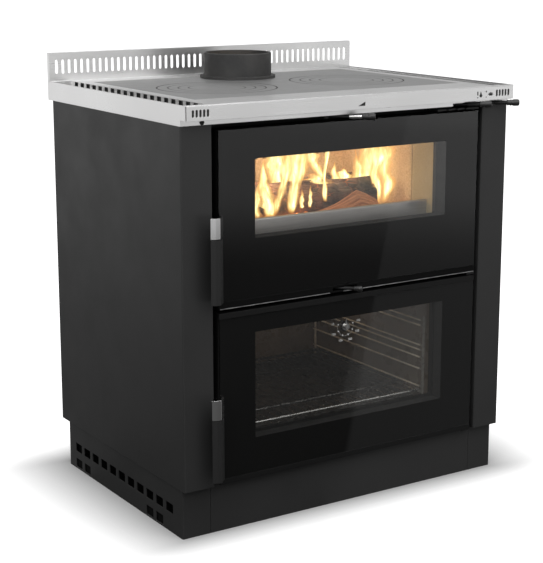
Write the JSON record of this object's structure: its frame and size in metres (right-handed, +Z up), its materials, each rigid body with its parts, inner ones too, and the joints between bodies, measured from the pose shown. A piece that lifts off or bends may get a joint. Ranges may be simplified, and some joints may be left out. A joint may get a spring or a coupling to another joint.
{
  "type": "wood cookstove",
  "caption": "Freestanding wood cookstove with a glazed fire door over a glazed oven door, a hob with nested rings, stainless trim and swinging control levers.",
  "frame": {"origin": "centre of the body's footprint, on the floor, under the middle skid", "axes": "+X to the right as seen from the front, -Y out of the front towards the user, +Z up"},
  "size_m": [0.8072, 0.6299, 0.9215],
  "materials": {
    "body_paint": "smooth satin charcoal",
    "stove_paint": "heat-resistant matt black",
    "stainless": "finely brushed",
    "zinc_sheet": "dull galvanised",
    "hob_iron": "ground smooth",
    "dark_iron": "dark, slightly rough",
    "firebrick": "matt refractory",
    "oven_lining": "dark enamel",
    "tray_enamel": "gloss black enamel",
    "door_glass": "clear, lightly tinted",
    "rope_seal": "braided glass fibre",
    "grip_coat": "satin black",
    "knob_black": "black, polished",
    "chrome": "polished"
  },
  "bodies": {
    "cooker": {"floor_frame": "zinc_sheet", "plinth_left": "body_paint", "plinth_right": "body_paint", "plinth_kick_panel": "body_paint", "plinth_back": "body_paint", "base_plate": "zinc_sheet", "side_panel_left": "body_paint", "side_panel_right": "body_paint", "back_panel": "zinc_sheet", "front_frame": "stove_paint", "firebox_shell": "stove_paint", "hearth_plate": "dark_iron", "fire_grate": "dark_iron", "side_firebricks": "firebrick", "back_firebricks": "firebrick", "log_guard": "dark_iron", "ash_drawer": "stove_paint", "oven_liner": "oven_lining", "oven_racks": "chrome", "wire_shelf": "chrome", "baking_tray": "tray_enamel", "top_frame": "stainless", "fascia_bar": "stainless", "casing_screws": "dark_iron", "splashback": "stainless", "hob_plate": "hob_iron", "flue_collar": "dark_iron", "hinge_brackets": "chrome", "hinge_pins": "chrome", "latch_keepers": "chrome", "lever_brackets": "zinc_sheet"},
    "fire_door": {"fire_door_frame": "stove_paint", "fire_door_glass": "door_glass", "fire_door_gasket": "rope_seal", "fire_door_grip": "grip_coat"},
    "fire_latch": {"fire_door_latch": "chrome"},
    "primary_air": {"primary_air_lever": "chrome", "primary_air_knob": "knob_black"},
    "oven_door": {"oven_door_frame": "stove_paint", "oven_door_glass": "door_glass", "oven_door_inner_glass": "door_glass", "oven_door_gasket": "rope_seal", "oven_door_grip": "grip_coat", "thermometer_body": "chrome"},
    "oven_latch": {"oven_door_latch": "chrome"},
    "pointer": {"thermometer_pointer": "chrome"},
    "secondary_air": {"secondary_air_lever": "chrome", "secondary_air_knob": "knob_black"},
    "flue_damper": {"flue_damper_lever": "chrome", "flue_damper_knob": "knob_black"},
    "oven_damper": {"oven_damper_lever": "chrome", "oven_damper_knob": "knob_black"},
    "left_outer": {"left_outer_ring": "hob_iron"},
    "left_middle": {"left_middle_ring": "hob_iron"},
    "left_inner": {"left_inner_ring": "hob_iron"},
    "left_centre": {"left_disc": "hob_iron"},
    "right_outer": {"right_outer_ring": "hob_iron"},
    "right_middle": {"right_middle_ring": "hob_iron"},
    "right_inner": {"right_inner_ring": "hob_iron"},
    "right_centre": {"right_disc": "hob_iron"}
  },
  "joints": [
    {"name": "fire_door_hinge", "type": "hinge", "parent": "cooker", "child": "fire_door", "pos_m": [0.313, -0.271, 0.634], "axis": [0, 0, 1], "range_deg": [0, 110]},
    {"name": "oven_door_hinge", "type": "hinge", "parent": "cooker", "child": "oven_door", "pos_m": [0.313, -0.271, 0.278], "axis": [0, 0, 1], "range_deg": [0, 110]},
    {"name": "fire_latch_tilt", "type": "hinge", "parent": "fire_door", "child": "fire_latch", "pos_m": [-0.341, -0.309, 0.612], "axis": [1, 0, 0], "range_deg": [0, 10]},
    {"name": "oven_latch_tilt", "type": "hinge", "parent": "oven_door", "child": "oven_latch", "pos_m": [-0.341, -0.309, 0.256], "axis": [1, 0, 0], "range_deg": [0, 10]},
    {"name": "primary_air_swing", "type": "hinge", "parent": "fire_door", "child": "primary_air", "pos_m": [-0.05, -0.262, 0.4672], "axis": [0, 0, -1], "range_deg": [0, 35]},
    {"name": "pointer_turn", "type": "hinge", "parent": "oven_door", "child": "pointer", "pos_m": [0, -0.2585, 0.377], "axis": [0, 1, 0], "range_deg": [-120, 120]},
    {"name": "secondary_air_swing", "type": "hinge", "parent": "cooker", "child": "secondary_air", "pos_m": [-0.06, -0.263, 0.8165], "axis": [0, 0, -1], "range_deg": [0, 35]},
    {"name": "flue_damper_swing", "type": "hinge", "parent": "cooker", "child": "flue_damper", "pos_m": [0.2484, -0.266, 0.8227], "axis": [0, 0, -1], "range_deg": [0, 30]},
    {"name": "oven_damper_swing", "type": "hinge", "parent": "cooker", "child": "oven_damper", "pos_m": [0.324, -0.266, 0.8227], "axis": [0, 0, -1], "range_deg": [0, 30]},
    {"name": "left_outer_lift", "type": "slide", "parent": "cooker", "child": "left_outer", "axis": [0, 0, 1], "range_m": [0, 0.04]},
    {"name": "left_middle_lift", "type": "slide", "parent": "left_outer", "child": "left_middle", "axis": [0, 0, 1], "range_m": [0, 0.04]},
    {"name": "left_inner_lift", "type": "slide", "parent": "left_middle", "child": "left_inner", "axis": [0, 0, 1], "range_m": [0, 0.04]},
    {"name": "left_centre_lift", "type": "slide", "parent": "left_inner", "child": "left_centre", "axis": [0, 0, 1], "range_m": [0, 0.04]},
    {"name": "right_outer_lift", "type": "slide", "parent": "cooker", "child": "right_outer", "axis": [0, 0, 1], "range_m": [0, 0.04]},
    {"name": "right_middle_lift", "type": "slide", "parent": "right_outer", "child": "right_middle", "axis": [0, 0, 1], "range_m": [0, 0.04]},
    {"name": "right_inner_lift", "type": "slide", "parent": "right_middle", "child": "right_inner", "axis": [0, 0, 1], "range_m": [0, 0.04]},
    {"name": "right_centre_lift", "type": "slide", "parent": "right_inner", "child": "right_centre", "axis": [0, 0, 1], "range_m": [0, 0.04]}
  ]
}
